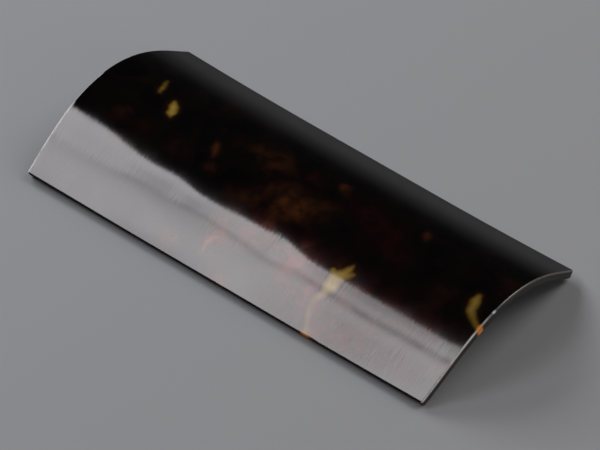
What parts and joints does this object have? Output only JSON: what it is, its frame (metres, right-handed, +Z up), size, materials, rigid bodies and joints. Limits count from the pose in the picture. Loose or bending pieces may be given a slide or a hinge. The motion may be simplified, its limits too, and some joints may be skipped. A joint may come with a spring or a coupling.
{
  "type": "tea scoop",
  "caption": "Arched plate of polished tortoiseshell, welded from thin sheets, used as a scoop to measure leaf tea and tip it into the pot.",
  "frame": {"origin": "centre of the bounding box, on the plane that the two resting lands stand on", "axes": "+X along the length towards the narrower end, +Y across to the far long edge, +Z up, out of the crest of the arch"},
  "size_m": [0.1326, 0.0626, 0.0161],
  "materials": {
    "shell_outer": "mirror polished dark shell with amber and red-brown clouds",
    "shell_inner": "polished dark shell"
  },
  "bodies": {
    "root": {"outer_sheet": "shell_outer", "inner_sheet": "shell_inner"}
  },
  "joints": []
}
